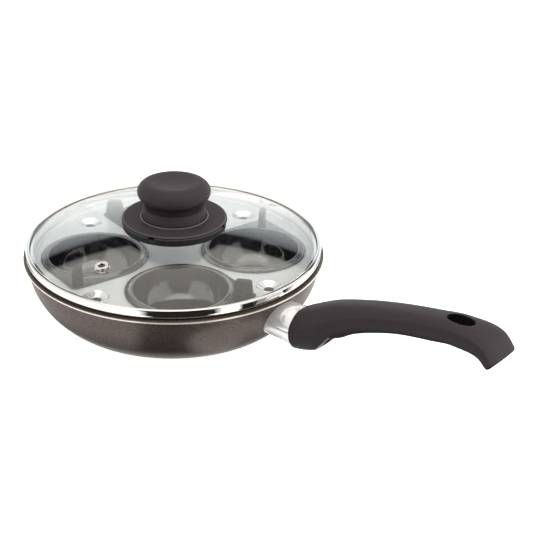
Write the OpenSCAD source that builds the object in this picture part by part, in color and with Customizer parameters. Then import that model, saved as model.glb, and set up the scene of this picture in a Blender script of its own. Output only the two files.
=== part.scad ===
// Egg poacher pan: a shallow pan with a lift-out tray, four egg cups and a domed glass lid.
// Millimetres. The origin is the centre of the flat base, Z is up and the handle points along X.

/* [Pan] */
// Outer radius of the wall at the mouth
pan_r = 101.5; // [99:0.5:120]
// Height of the mouth above the table
pan_h = 39; // [37:0.2:55]
// Radius of the flat foot that the pan stands on
foot_r = 82; // [60:0.5:88]
// Thickness of the wall
wall_t = 2.4; // [1.6:0.1:3]
// Thickness of the base
base_t = 3.4; // [2:0.1:5]
// How far the lip stands out beyond the wall
lip_out = 1.6; // [1:0.1:3]
// Thickness of the lip
lip_t = 1.6; // [1:0.1:2.4]

/* [Tray] */
// Thickness of the tray sheet
tray_t = 0.8; // [0.5:0.1:1]
// Depth of the tray's rolled edge, over the outside of the pan's lip
curl_drop = 0.8; // [0.6:0.1:1.4]
// Thickness of the rolled edge
curl_t = 0.6; // [0.4:0.1:1]
// Drop from the flange to the ledge
ledge_drop = 3; // [2:0.1:4]
// Drop from the flange to the plate that carries the cups
plate_drop = 5; // [4.4:0.1:6]
// Width of the ledge
ledge_w = 2.6; // [2:0.1:4]
// Angle of the first cup from the handle
tray_turn = 49.8; // [0:0.1:89]
// Angle from a cup to the steam vent beside it
vent_turn = 46.7; // [43:0.1:49]
// Distance from a vent's centre to the edge of the plate
vent_margin = 14.5; // [11:0.5:20]
// Radius of a vent's funnel at the plate
funnel_r = 7.2; // [5:0.1:8]
// Radius of a vent's hole
vent_hole_r = 3; // [2:0.1:4]
// Depth of a vent's funnel
funnel_depth = 3.6; // [2:0.1:5]

/* [Cups] */
// Gap between the flanges of two cups side by side
cup_gap = 4.46; // [2:0.02:8]
// Depth of a cup below its bead
cup_depth = 22; // [16:0.5:24]
// Radius of a cup's flat bottom
cup_floor_r = 13; // [8:0.5:18]
// Thickness of the cup's sheet
cup_t = 0.8; // [0.5:0.1:1.2]
// Width of a cup's flange
flange_w = 5.6; // [5:0.1:6.2]
// Height of the bead around a cup's mouth
bead_h = 2.1; // [1.6:0.1:2.6]
// Distance from a cup's flange to the edge of the plate
cup_margin = 2.8; // [2:0.1:5]
// Direction of a cup's tongue, from the line out of the tray's centre
tongue_turn = 74; // [65:1:80]
// How far a cup's tongue stands out beyond its flange
tongue_out = 13.2; // [12:0.1:15]
// Radius of the tongue's round tip
tongue_tip_r = 4.6; // [3.6:0.1:6]

/* [Cup grips] */
// Length of a grip along its tongue
grip_len = 13.2; // [11:0.1:14]
// Height of a grip
grip_h = 10.6; // [8:0.1:10.8]
// Thickness of a grip
grip_t = 4; // [3:0.1:5]
// Radius of a grip's top corners
grip_corner_r = 2.2; // [1:0.1:3]
// Radius of the rivet that holds a grip
rivet_r = 1.3; // [1:0.1:1.6]
// Radius of the rivet's flush head
rivet_head_r = 2.2; // [1.8:0.1:2.8]
// How far the rivet reaches up into the grip
rivet_reach = 5.4; // [3:0.1:7]

/* [Lid] */
// How far the lid's band stands in from the tray's edge
lid_inset = 1.8; // [1.4:0.1:2.6]
// Height of the lid's band
band_h = 6.9; // [6.6:0.1:10]
// Thickness of the band's sheet
band_t = 0.6; // [0.4:0.1:0.8]
// Width of the lip that folds over the glass
band_lip_w = 2.6; // [2:0.1:3.4]
// Thickness of the glass
glass_t = 3.4; // [3:0.1:4]
// Height of the glass at its centre above its edge
glass_rise = 13.2; // [11:0.2:20]
// Distance of the steam eyelet from the lid's band
eyelet_in = 29.6; // [20:0.2:45]
// Direction of the steam eyelet
eyelet_turn = 273.5; // [0:0.5:359]
// Radius of the eyelet's flange
eyelet_r = 4.9; // [4:0.1:6]
// Radius of the steam hole
steam_hole_r = 2; // [1:0.1:2.6]

/* [Knob] */
// Largest radius of the knob's head
knob_r = 25.2; // [23.6:0.1:30]
// Radius of the knob's skirt
skirt_r = 22; // [19:0.1:23]
// Height of the knob above its guard
knob_h = 25.3; // [23:0.1:34]
// Height of the straight skirt
skirt_h = 6.8; // [4:0.1:9]
// Radius of the dished top
dish_r = 18.6; // [12:0.1:20]
// Depth of the dished top
dish_depth = 1.2; // [0.6:0.1:2]
// Wall of the knob
knob_wall = 3.2; // [2.4:0.1:4]
// Radius of the round guard under the knob
guard_r = 36.4; // [30:0.1:42]
// Thickness of the guard
guard_t = 4.6; // [4:0.1:6]
// Number of notches in the guard's lower edge
notch_count = 4; // [2:1:8]
// Direction of the first notch
notch_turn = 21; // [0:1:89]
// Width of a notch
notch_w = 4.4; // [3:0.1:8]
// Height of a notch
notch_h = 1.4; // [0.8:0.1:1.8]
// Radius of the screw through the lid
screw_r = 2.5; // [2:0.1:3]
// Thickness of the soft washers against the glass
seal_t = 1.3; // [0.8:0.1:2]

/* [Handle] */
// Gap between the pan's wall and the handle, which the ferrule covers
ferrule_len = 17.5; // [14:0.5:26]
// Height of the handle's front above the table
handle_z = 24.6; // [23:0.2:27]
// Length of the handle along the table
handle_len = 143.5; // [125:0.5:170]
// How far the handle climbs from its front to its crest
handle_rise = 47.6; // [38:0.2:56]
// Half width of the handle at its front
handle_front_w = 16.8; // [15.6:0.1:19]
// Half width of the handle at its waist
handle_waist_w = 11.8; // [10.5:0.1:14]
// Half width of the handle at its tip
handle_tip_w = 13.4; // [11:0.1:16]
// Length of the hanging hole
hang_len = 18; // [14:0.5:22]
// Width of the hanging hole
hang_w = 11; // [8:0.5:12]
// Distance from the handle's front to the centre of the hanging hole
hang_at = 115; // [105:0.5:118]
// Half width of the ferrule at the handle
ferrule_w = 15.6; // [14:0.1:16]
// Half height of the ferrule at the handle
ferrule_h = 11.4; // [10:0.1:12]
// Thickness of the ferrule's sheet
ferrule_t = 0.8; // [0.5:0.1:1.2]
// Distance from the handle's front to the slanted face of its heel
heel_len = 16; // [14:0.5:17]
// Slope of the heel's face
heel_slope = 54; // [50:1:58]
// Radius of the handle's screw
handle_screw_r = 2.4; // [2:0.1:2.6]

/* [Hidden] */

$fn = 96;
far = 400;
eps = 0.01;

// Clearances
lip_fit = 0.3;
tray_fit = 0.9;
hole_fit = 0.6;
lid_fit = 0.5;
seat_gap = 0.05;
thread_fit = 0.05;
shank_fit = 0.4;

// Pan
wall_steps = 14;
wall_sweep = 2.24;
wall_ease = 0.9;
base_corner_r = 9;
lip_r = pan_r + lip_out;
mouth_r = pan_r - wall_t;

// Tray
tray_flange_r = lip_r + lip_fit + curl_t;
flange_z = pan_h + tray_t;
ledge_z = flange_z - ledge_drop;
plate_z = flange_z - plate_drop;
ledge_r = mouth_r - tray_fit - tray_t;
plate_r = ledge_r - ledge_w;
vent_ring_r = plate_r - vent_margin;

// Cups
cup_count = 4;
cup_side = sin(180 / cup_count);
cup_flange_r = ((plate_r - cup_margin) * cup_side - cup_gap / 2) / (1 + cup_side);
cup_ring_r = plate_r - cup_margin - cup_flange_r;
cup_r = cup_flange_r - flange_w;
tongue_reach = cup_flange_r + tongue_out;
cup_hole_r = cup_r + cup_t + hole_fit;
bead_round = 0.7;
bead_w = 1.9;
bead_z = plate_z + bead_h;
bowl_steps = 10;
bowl_top_z = bead_z - bead_round;
bowl_base_z = bowl_top_z - cup_depth;
tongue_z = plate_z + cup_t;

// Grips
grip_tip_gap = 1.8;
grip_start = tongue_reach - grip_len - grip_tip_gap;
grip_taper = 1;
grip_mid = grip_start + grip_len / 2;

// Lid
band_r = tray_flange_r - lid_inset;
band_top_z = flange_z + band_h;
bead_bulge = 0.4;
glass_edge_r = band_r - band_t - 2 * seat_gap - bead_bulge;
band_lip_r = band_r - band_lip_w;
glass_edge_z = band_top_z - band_t;
glass_sphere_r = (band_lip_r * band_lip_r + glass_rise * glass_rise) / (2 * glass_rise);
glass_top_z = glass_edge_z + glass_rise;
glass_steps = 24;
knob_hole_r = 4.2;
shelf_w = 4;
shelf_t = 0.7;
foot_w = 2;
foot_recess = 0.7;
foot_h = 1.5;
guide_drop = 1.6;

// Eyelet
eyelet_ring_r = band_lip_r - eyelet_in;
eyelet_t = 0.9;
barrel_wall = 1.2;
barrel_r = steam_hole_r + barrel_wall;
eyelet_tilt = asin(eyelet_ring_r / glass_sphere_r);
eyelet_z = glass_height(eyelet_ring_r);

// Knob
guard_z = glass_top_z + seal_t;
knob_z = guard_z + guard_t;
knob_core_r = 7;
knob_seal_r = 17;
neck_in = 0.5;
head_lower_in = 0.8;
head_band_h = 6;
guard_edge_r = 1.3;
guard_bead_w = 1.1;
guard_bead_h = 0.6;
guard_shell_t = 2.2;
guard_rim_w = 3;
notch_depth = 2.4;
insert_r = 4.5;
insert_len = 15;
lid_seal_r = 10;
lid_seal_z = glass_top_z - glass_t - glass_sag(lid_seal_r) - seat_gap - seal_t;
washer_t = 1;
washer_r = 9;
screw_head_r = 4.8;
screw_head_h = 2.8;
screw_slot_w = 1.2;
screw_slot_depth = 1.3;

// Handle: the side view as shares of its length and climb, with the lean of each cross-section
handle_x = pan_r + ferrule_len;
handle_side = [
    [0, 0, 8], [0.085, 0.19, 24], [0.19, 0.42, 28], [0.33, 0.62, 22], [0.5, 0.8, 17],
    [0.67, 0.925, 12], [0.8, 1, 3], [0.95, 0.95, -22], [1, 0.785, -34]];
handle_path = [for (p = handle_side) [handle_x + p[0] * handle_len, handle_z + p[1] * handle_rise, p[2]]];
// Where along the handle, half width, height above, depth below and squareness
handle_body = [
    [0, handle_front_w, 12.6, 13, 2.4],
    [0.05, handle_front_w - 0.8, 11.4, 16.4, 2.4],
    [0.1, handle_front_w - 1.8, 10.4, 17.6, 2.4],
    [0.15, handle_waist_w + 2.6, 9.3, 16.8, 2.4],
    [0.2, handle_waist_w + 1.8, 8.3, 15, 2.4],
    [0.45, handle_waist_w + 0.3, 5.1, 12.2, 2.4],
    [0.75, handle_waist_w, 3.6, 12.3, 2.6],
    [0.92, handle_tip_w - 0.3, 2.3, 11, 3],
    [1, handle_tip_w, 1.9, 7.5, 3.2]];
handle_steps = 34;
handle_sides = 32;
end_round = 2.2;
heel_z = handle_z - 11;
heel_top = handle_z + 7.5;
hang_share = share_at(hang_at / handle_len);
hang_z = curve_at(path_marks(handle_path), handle_path, hang_share)[1];

// Ferrule, stud and screw of the handle
ferrule_root_w = ferrule_w - 0.4;
ferrule_root_h = ferrule_h + 0.2;
ferrule_root_drop = 1.5;
ferrule_bury = 11;
ferrule_steps = 8;
stud_r = 6.5;
stud_root_r = 9;
stud_root_len = 3;
stud_len = 13;
screw_line_z = handle_z - 0.4;
screw_end_x = handle_x - 13;
screw_head_x = handle_x + 9;
handle_head_r = 3.6;
handle_head_h = 2.4;
recess_r = 4.1;
handle_washer_t = 0.8;
hex_r = 1.6;
hex_depth = 1.4;

// Height of the glass's upper face at a distance from the centre
function glass_sag(r) = glass_sphere_r - sqrt(glass_sphere_r * glass_sphere_r - r * r);
function glass_height(r) = glass_top_z - glass_sag(r);
function glass_under(r) = glass_top_z - glass_sphere_r
    + sqrt(pow(glass_sphere_r - glass_t, 2) - r * r);

// Points of an arc
function arc(x, y, r, a0, a1, n) = [for (i = [0:n]) let (a = a0 + (a1 - a0) * i / n)
    [x + r * cos(a), y + r * sin(a)]];

// Wall of the pan: radius at a share of the height
function wall_at(t) = foot_r + (pan_r - foot_r) * pow(1 - pow(1 - t, wall_sweep), wall_ease);

// Smooth curve through rows of numbers, at marks that need not be evenly spaced
function slope(m, p, i) = i == 0 ? (p[1] - p[0]) / (m[1] - m[0])
    : i == len(p) - 1 ? (p[i] - p[i - 1]) / (m[i] - m[i - 1])
    : ((p[i + 1] - p[i]) / (m[i + 1] - m[i]) * (m[i] - m[i - 1])
        + (p[i] - p[i - 1]) / (m[i] - m[i - 1]) * (m[i + 1] - m[i])) / (m[i + 1] - m[i - 1]);
function span_of(m, t, i = 0) = i >= len(m) - 2 || t < m[i + 1] ? i : span_of(m, t, i + 1);
function curve_at(m, p, t) = let (i = span_of(m, t), h = m[i + 1] - m[i], s = (t - m[i]) / h)
    (2 * s * s * s - 3 * s * s + 1) * p[i] + (s * s * s - 2 * s * s + s) * h * slope(m, p, i)
    + (3 * s * s - 2 * s * s * s) * p[i + 1] + (s * s * s - s * s) * h * slope(m, p, i + 1);

// Marks along a path: the share of its length at each of its points
function run_to(p, i) = i == 0 ? 0
    : run_to(p, i - 1) + norm([p[i][0] - p[i - 1][0], p[i][1] - p[i - 1][1]]);
function path_marks(p) = [for (i = [0:len(p) - 1]) run_to(p, i) / run_to(p, len(p) - 1)];
function share_at(x) = let (m = path_marks(handle_path), i = span_of([for (p = handle_side) p[0]], x))
    m[i] + (m[i + 1] - m[i]) * (x - handle_side[i][0]) / (handle_side[i + 1][0] - handle_side[i][0]);

// One cross-section of the handle or ferrule: a rounded oval that leans with the path
function oval(w, up, down, square, n) = [for (k = [0:n - 1]) let (a = 360 * k / n, c = cos(a), s = sin(a))
    [sign(c) * pow(abs(c), 2 / square) * w, sign(s) * pow(abs(s), 2 / square) * (s > 0 ? up : down)]];
function stand(flat, x, z, lean) = [for (p = flat) [x - p[1] * sin(lean), p[0], z + p[1] * cos(lean)]];

function shrink_at(u, len_all) = let (to_tip = (1 - u) * len_all, to_front = u * len_all)
    min(1, edge_scale(to_tip), edge_scale(to_front + end_round / 3));
function edge_scale(d) = d >= end_round ? 1
    : 1 - 0.2 * (1 - sqrt(max(0, 1 - pow(1 - d / end_round, 2))));

function handle_section(u) = let (
        p = curve_at(path_marks(handle_path), handle_path, u),
        b = curve_at([for (r = handle_body) r[0]], handle_body, u),
        k = shrink_at(u, run_to(handle_path, len(handle_path) - 1)))
    stand(oval(b[1] * k, b[2] * k, b[3] * k, b[4], handle_sides), p[0], p[1], p[2]);
function handle_stations() = concat(
    [0, 0.006, 0.015],
    [for (i = [1:handle_steps]) 0.015 + 0.965 * i / handle_steps],
    [0.986, 0.993, 0.998, 1]);

function ferrule_section(u, inset) = let (
        x0 = mouth_r - ferrule_bury,
        w = ferrule_root_w + (ferrule_w - ferrule_root_w) * u - inset,
        h = ferrule_root_h + (ferrule_h - ferrule_root_h) * u - inset)
    stand(oval(w, h, h, 2.2, handle_sides), x0 + (handle_x - seat_gap - x0) * u,
        handle_z - ferrule_root_drop * (1 - u), 8 * u);

// A solid skinned over rings of points
module skin(rings) {
    n = len(rings[0]);
    m = len(rings);
    sides = [for (j = [0:m - 2]) for (k = [0:n - 1])
        [j * n + k, (j + 1) * n + k, (j + 1) * n + (k + 1) % n, j * n + (k + 1) % n]];
    front = [[for (k = [0:n - 1]) k]];
    back = [[for (k = [n - 1:-1:0]) (m - 1) * n + k]];
    polyhedron([for (r = rings) for (p = r) p], concat(front, sides, back), 4);
}

// Everything inside the pan's outer face, out to a small gap
module pan_outside(gap) {
    rotate_extrude()
        polygon(concat([[0, -1], [foot_r + gap, -1]],
            [for (i = [0:wall_steps]) [wall_at(i / wall_steps) + gap, pan_h * i / wall_steps]],
            [[pan_r + gap, pan_h + 1], [0, pan_h + 1]]));
}

// A cylinder along X, on the line of the handle's screw
module rod(x0, x1, r) {
    translate([x0, 0, screw_line_z])
        rotate([0, 90, 0])
            cylinder(h = x1 - x0, r = r);
}

// Puts its children at a cup's centre, with X out of the tray's centre
module at_cup(i) {
    rotate([0, 0, tray_turn + 360 / cup_count * (i - 1)])
        translate([cup_ring_r, 0, 0])
            children();
}

module pan_body() {
    outer = [for (i = [1:wall_steps - 1]) [wall_at(i / wall_steps), pan_h * i / wall_steps]];
    inner = [for (i = [wall_steps:-1:2])
        [wall_at(i / wall_steps) - wall_t, max(base_t, pan_h * i / wall_steps)]];
    floor_r = wall_at(2 / wall_steps) - wall_t - base_corner_r / 3;
    color("#5a4c47")
        rotate_extrude()
            polygon(concat([[0, 0], [foot_r, 0]], outer,
                [[pan_r, pan_h - lip_t - lip_out / 2], [lip_r, pan_h - lip_t], [lip_r, pan_h]],
                [[mouth_r, pan_h]], inner, [[floor_r, base_t], [0, base_t]]));
}

module handle_stud() {
    color("#b9bbbd")
        difference() {
            union() {
                rod(mouth_r - ferrule_bury, mouth_r + stud_root_len, stud_root_r);
                rod(mouth_r, mouth_r + stud_len, stud_r);
            }
            pan_outside(seat_gap / 2);
            rod(mouth_r + wall_t, far, handle_screw_r + thread_fit);
        }
}

module ferrule() {
    color("#d9d9d6")
        difference() {
            skin([for (i = [0:ferrule_steps]) ferrule_section(i / ferrule_steps, 0)]);
            skin([for (i = [-1:ferrule_steps + 1]) ferrule_section(i / ferrule_steps, ferrule_t)]);
            pan_outside(seat_gap / 2);
        }
}

module handle() {
    color("#443a3e")
        difference() {
            skin([for (u = handle_stations()) handle_section(u)]);
            heel_cut();
            rod(handle_x - 5, screw_head_x, handle_screw_r + shank_fit);
            rod(screw_head_x - handle_washer_t, handle_x + handle_len / 3, recess_r);
            translate([handle_x + hang_at, 0, hang_z])
                hang_slot(hang_len, hang_w, far / 8);
        }
}

// Everything beyond the slanted face of the heel
module heel_cut() {
    run = (heel_top - heel_z) / tan(heel_slope);
    low = 2 * (heel_top - heel_z);
    translate([handle_x + heel_len, far / 8, heel_z])
        rotate([90, 0, 0])
            linear_extrude(height = far / 4)
                polygon([
                    [run, heel_top - heel_z], [-run, heel_z - heel_top],
                    [-run, -low], [3 * run, -low], [3 * run, heel_top - heel_z]]);
}

// Upright slot with round ends
module hang_slot(length, width, height) {
    straight = length - width;
    for (s = [-1, 1])
        translate([s * straight / 2, 0, -height / 2])
            cylinder(h = height, r = width / 2, $fn = 48);
    translate([-straight / 2, -width / 2, -height / 2])
        cube([straight, width, height]);
}

module handle_washer() {
    color("#c4c5c6")
        difference() {
            rod(screw_head_x - handle_washer_t, screw_head_x, recess_r - lip_fit);
            rod(0, far, handle_screw_r + shank_fit);
        }
}

module handle_screw() {
    color("#c4c5c6")
        difference() {
            union() {
                rod(screw_end_x, screw_head_x, handle_screw_r);
                rod(screw_head_x, screw_head_x + handle_head_h, handle_head_r);
            }
            translate([screw_head_x + handle_head_h - hex_depth, 0, screw_line_z])
                rotate([0, 90, 0])
                    cylinder(h = far, r = hex_r, $fn = 6);
        }
}

module tray() {
    color("#c9ccca")
        difference() {
            union() {
                difference() {
                    tray_sheet();
                    at_vents()
                        cylinder(h = far, r = funnel_r, center = true);
                }
                at_vents()
                    vent_funnel();
            }
            for (i = [1:cup_count])
                at_cup(i)
                    cylinder(h = far, r = cup_hole_r, center = true);
        }
}

module tray_sheet() {
    rotate_extrude()
        polygon([
            [0, plate_z], [plate_r, plate_z], [plate_r, ledge_z], [ledge_r, ledge_z],
            [ledge_r, flange_z - 0.4], [ledge_r + 0.4, flange_z],
            [tray_flange_r - 0.4, flange_z], [tray_flange_r, flange_z - 0.4],
            [tray_flange_r, pan_h - curl_drop], [tray_flange_r - curl_t, pan_h - curl_drop],
            [tray_flange_r - curl_t, pan_h], [ledge_r + tray_t, pan_h],
            [ledge_r + tray_t, ledge_z - tray_t], [plate_r + tray_t, ledge_z - tray_t],
            [plate_r + tray_t, plate_z - tray_t], [0, plate_z - tray_t]]);
}

module at_vents() {
    for (i = [1:cup_count])
        rotate([0, 0, tray_turn + vent_turn + 360 / cup_count * (i - 1)])
            translate([vent_ring_r, 0, plate_z])
                children();
}

module vent_funnel() {
    translate([0, 0, -funnel_depth])
        difference() {
            cylinder(h = funnel_depth, r1 = vent_hole_r + tray_t, r2 = funnel_r + tray_t);
            cylinder(h = funnel_depth, r1 = vent_hole_r, r2 = funnel_r);
        }
}

// Bowl of a cup: radius at a share of the depth
function bowl_at(t) = cup_floor_r + (cup_r - cup_floor_r) * sqrt(max(0, 1 - t * t));

module cup() {
    inner = [for (i = [0:bowl_steps]) let (t = sin(90 * i / bowl_steps))
        [bowl_at(t), bowl_top_z - cup_depth * t]];
    outer = [for (i = [bowl_steps:-1:1]) let (t = sin(90 * i / bowl_steps))
        [bowl_at(t) + cup_t, bowl_top_z - (cup_depth + cup_t) * t]];
    color("#1d1a1a") {
        rotate_extrude()
            polygon(concat([[0, bowl_base_z]],
                [for (i = [bowl_steps:-1:0]) inner[i]],
                [[cup_r + bead_round, bead_z], [cup_r + bead_w, bead_z - 0.5]],
                [[cup_r + bead_w + 1, tongue_z - cup_t / 4]],
                [[cup_r + bead_w + 1, plate_z], [cup_r + cup_t, plate_z]],
                [for (i = [bowl_steps - 1:-1:0]) outer[i]],
                [[0, bowl_base_z - cup_t]]));
        translate([0, 0, plate_z])
            linear_extrude(height = cup_t)
                flange_outline();
    }
}

// Flat flange of a cup with the teardrop tongue that carries the grip
module flange_outline() {
    d = tongue_reach - tongue_tip_r;
    b = acos((cup_flange_r - tongue_tip_r) / d);
    difference() {
        union() {
            circle(r = cup_flange_r);
            rotate([0, 0, tongue_turn]) {
                polygon([
                    [cup_flange_r * cos(b), cup_flange_r * sin(b)],
                    [d + tongue_tip_r * cos(b), tongue_tip_r * sin(b)],
                    [d + tongue_tip_r * cos(b), -tongue_tip_r * sin(b)],
                    [cup_flange_r * cos(b), -cup_flange_r * sin(b)]]);
                translate([d, 0])
                    circle(r = tongue_tip_r);
            }
        }
        circle(r = cup_r + bead_w);
        rotate([0, 0, tongue_turn])
            translate([grip_mid, 0])
                circle(r = rivet_head_r + thread_fit);
    }
}

// Upright grip on a cup's tongue
module cup_grip() {
    r = grip_corner_r;
    outline = concat(
        [[0, 0], [grip_len, 0]],
        arc(grip_len - grip_taper - r, grip_h - r, r, 0, 90, 6),
        arc(grip_taper + r, grip_h - r, r, 90, 180, 6));
    color("#2a2526")
        rotate([0, 0, tongue_turn])
            difference() {
                translate([grip_start, grip_t / 2, tongue_z])
                    rotate([90, 0, 0])
                        linear_extrude(height = grip_t)
                            polygon(outline);
                translate([grip_mid, 0, tongue_z - 1])
                    cylinder(h = 1 + rivet_reach + seat_gap, r = rivet_r + thread_fit);
            }
}

module grip_rivet() {
    color("#b8b8b6")
        rotate([0, 0, tongue_turn])
            translate([grip_mid, 0, plate_z]) {
                cylinder(h = cup_t, r = rivet_head_r);
                cylinder(h = cup_t + rivet_reach, r = rivet_r);
            }
}

module lid_glass() {
    edge = glass_edge_r;
    top = [for (i = [0:glass_steps]) let (r = knob_hole_r + (edge - knob_hole_r) * i / glass_steps)
        [r, glass_height(r)]];
    under = [for (i = [glass_steps:-1:0]) let (r = knob_hole_r + (edge - knob_hole_r) * i / glass_steps)
        [r, glass_under(r)]];
    color([0.8, 0.88, 0.86, 0.35])
        difference() {
            rotate_extrude()
                polygon(concat(top, under));
            at_eyelet()
                cylinder(h = far / 10, r = barrel_r + lip_fit / 2, center = true);
        }
}

module lid_band() {
    top_in = glass_height(band_lip_r) + seat_gap;
    pocket_r = glass_edge_r + seat_gap;
    shelf_z = glass_under(glass_edge_r) - seat_gap;
    shelf_r = glass_edge_r - shelf_w;
    shelf_in_z = glass_under(shelf_r) - seat_gap;
    guide_r = ledge_r - lid_fit;
    recess_in_r = pocket_r - foot_recess;
    bead_z0 = flange_z + foot_h;
    color("#d4d4d0")
        rotate_extrude()
            polygon([
                [pocket_r - foot_w, flange_z], [recess_in_r - 0.2, flange_z],
                [recess_in_r, flange_z + 0.2], [recess_in_r, bead_z0 - 0.3],
                [pocket_r + 0.1, bead_z0], [band_r - bead_bulge, bead_z0 + 0.5],
                [band_r - 0.2, bead_z0 + 1.2], [band_r - bead_bulge, bead_z0 + 2.2],
                [band_r - 0.2, band_top_z - 2.2],
                [band_r, band_top_z - 1.5], [band_r, band_top_z - 0.9],
                [band_r - 0.4, band_top_z - 0.4], [band_r - 1, band_top_z - 0.1],
                [band_lip_r + 0.5, top_in + band_t], [band_lip_r, top_in + band_t - 0.2],
                [band_lip_r, top_in],
                [pocket_r, glass_height(pocket_r) + seat_gap], [pocket_r, shelf_z],
                [shelf_r, shelf_in_z], [guide_r - band_t, shelf_in_z - 0.2],
                [guide_r - band_t, flange_z - guide_drop], [guide_r, flange_z - guide_drop],
                [guide_r, shelf_in_z - shelf_t - 0.3], [pocket_r - foot_w, shelf_z - shelf_t]]);
}

// Puts its children where the steam eyelet goes through the glass, with Z out of the glass
module at_eyelet() {
    rotate([0, 0, eyelet_turn])
        translate([eyelet_ring_r, 0, eyelet_z])
            rotate([0, eyelet_tilt, 0])
                children();
}

module vent_eyelet() {
    color("#dcdcd8")
        at_eyelet()
            rotate_extrude()
                polygon([
                    [steam_hole_r, -glass_t - eyelet_t], [barrel_r, -glass_t - eyelet_t],
                    [barrel_r, seat_gap], [eyelet_r, seat_gap], [eyelet_r, 0.4],
                    [eyelet_r - 0.5, eyelet_t], [steam_hole_r + 0.5, eyelet_t],
                    [steam_hole_r, 0.4]]);
}

module vent_collar() {
    color("#c4c4c0")
        at_eyelet()
            rotate_extrude()
                polygon([
                    [barrel_r + seat_gap, -glass_t - eyelet_t], [eyelet_r - 0.4, -glass_t - eyelet_t],
                    [eyelet_r, -glass_t - 0.4], [eyelet_r, -glass_t - seat_gap],
                    [barrel_r + seat_gap, -glass_t - seat_gap]]);
}

module knob() {
    top = knob_z + knob_h;
    head_low_z = top - 8.1;
    widest_z = top - 5.2;
    neck_z = knob_z + skirt_h + 1.4;
    inside_r = skirt_r - knob_wall;
    inside_top = head_low_z - 0.6;
    core_top = guard_z + 1 + insert_len + 1.2;
    color("#3f3739")
        rotate_extrude()
            polygon([
                [insert_r + thread_fit, guard_z], [knob_core_r, guard_z], [knob_core_r, inside_top],
                [inside_r, inside_top], [inside_r, knob_z], [skirt_r, knob_z],
                [skirt_r, knob_z + skirt_h], [skirt_r - neck_in, neck_z],
                [skirt_r - neck_in + 0.4, neck_z + 2.4],
                [knob_r - head_lower_in - 0.9, head_low_z - 1.9], [knob_r - head_lower_in, head_low_z],
                [knob_r - 0.2, widest_z - 1.4], [knob_r, widest_z], [knob_r - 0.3, widest_z + 1.6],
                [knob_r - 1.3, widest_z + 3.2], [(knob_r + dish_r) / 2 - 0.6, top - 0.7],
                [dish_r + 1.4, top], [dish_r, top - 0.1], [dish_r - 2.6, top - dish_depth * 0.6],
                [dish_r / 2, top - dish_depth], [0, top - dish_depth],
                [0, core_top], [insert_r + thread_fit, core_top]]);
}

module knob_insert() {
    color("#b08d4a")
        translate([0, 0, guard_z + 1])
            difference() {
                cylinder(h = insert_len, r = insert_r);
                translate([0, 0, -1])
                    cylinder(h = insert_len + 2, r = screw_r + thread_fit);
            }
}

module knob_guard() {
    bead_r = skirt_r + guard_bead_w + 0.3;
    shell_r = guard_r - guard_rim_w;
    color("#3a3334")
        difference() {
            rotate_extrude()
                polygon([
                    [knob_core_r + seat_gap, guard_z], [knob_seal_r + 2, guard_z],
                    [knob_seal_r + 2, knob_z - guard_shell_t], [shell_r, knob_z - guard_shell_t],
                    [shell_r, guard_z], [guard_r - 0.5, guard_z], [guard_r, guard_z + 0.5],
                    [guard_r, knob_z - guard_edge_r - 0.6], [guard_r - 0.4, knob_z - guard_edge_r + 0.4],
                    [guard_r - guard_edge_r, knob_z - 0.1], [guard_r - 2 * guard_edge_r, knob_z],
                    [bead_r, knob_z], [bead_r - 0.2, knob_z + guard_bead_h],
                    [bead_r - guard_bead_w + 0.2, knob_z + guard_bead_h],
                    [bead_r - guard_bead_w, knob_z], [knob_core_r + seat_gap, knob_z]]);
            for (i = [1:notch_count])
                rotate([0, 0, notch_turn + 360 / notch_count * i])
                    translate([guard_r - notch_depth, -notch_w / 2, guard_z - 1])
                        cube([notch_depth + 1, notch_w, notch_h + 1]);
        }
}

// Soft washer between the glass and the guard
module knob_seal() {
    color("#262323")
        translate([0, 0, glass_top_z])
            difference() {
                cylinder(h = seal_t, r = knob_seal_r);
                translate([0, 0, -1])
                    cylinder(h = seal_t + 2, r = screw_r + shank_fit);
            }
}

// Soft washer under the glass
module lid_seal() {
    color("#262323")
        translate([0, 0, lid_seal_z])
            difference() {
                cylinder(h = seal_t, r = lid_seal_r);
                translate([0, 0, -1])
                    cylinder(h = seal_t + 2, r = screw_r + shank_fit);
            }
}

module clamp_washer() {
    color("#c4c5c6")
        translate([0, 0, lid_seal_z - washer_t])
            difference() {
                cylinder(h = washer_t, r = washer_r);
                translate([0, 0, -1])
                    cylinder(h = washer_t + 2, r = screw_r + shank_fit);
            }
}

module knob_screw() {
    head_z = lid_seal_z - washer_t - screw_head_h;
    tip_z = guard_z + insert_len - 1;
    color("#c4c5c6")
        difference() {
            union() {
                translate([0, 0, head_z])
                    cylinder(h = screw_head_h, r = screw_head_r);
                translate([0, 0, head_z])
                    cylinder(h = tip_z - head_z, r = screw_r);
            }
            for (a = [0, 90])
                rotate([0, 0, a])
                    translate([-screw_head_r * 0.6, -screw_slot_w / 2, head_z - 1])
                        cube([screw_head_r * 1.2, screw_slot_w, 1 + screw_slot_depth]);
        }
}

pan_body();
handle_stud();
ferrule();
handle();
handle_washer();
handle_screw();
tray();
at_cup(1) cup();  // cup_1
at_cup(2) cup();  // cup_2
at_cup(3) cup();  // cup_3
at_cup(4) cup();  // cup_4
at_cup(1) cup_grip();  // cup_grip_1
at_cup(2) cup_grip();  // cup_grip_2
at_cup(3) cup_grip();  // cup_grip_3
at_cup(4) cup_grip();  // cup_grip_4
at_cup(1) grip_rivet();  // grip_rivet_1
at_cup(2) grip_rivet();  // grip_rivet_2
at_cup(3) grip_rivet();  // grip_rivet_3
at_cup(4) grip_rivet();  // grip_rivet_4
lid_glass();
lid_band();
vent_eyelet();
vent_collar();
knob();
knob_insert();
knob_guard();
knob_seal();
lid_seal();
clamp_washer();
knob_screw();
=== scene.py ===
import math

import bmesh
import bpy
from mathutils import Matrix, Vector


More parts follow.
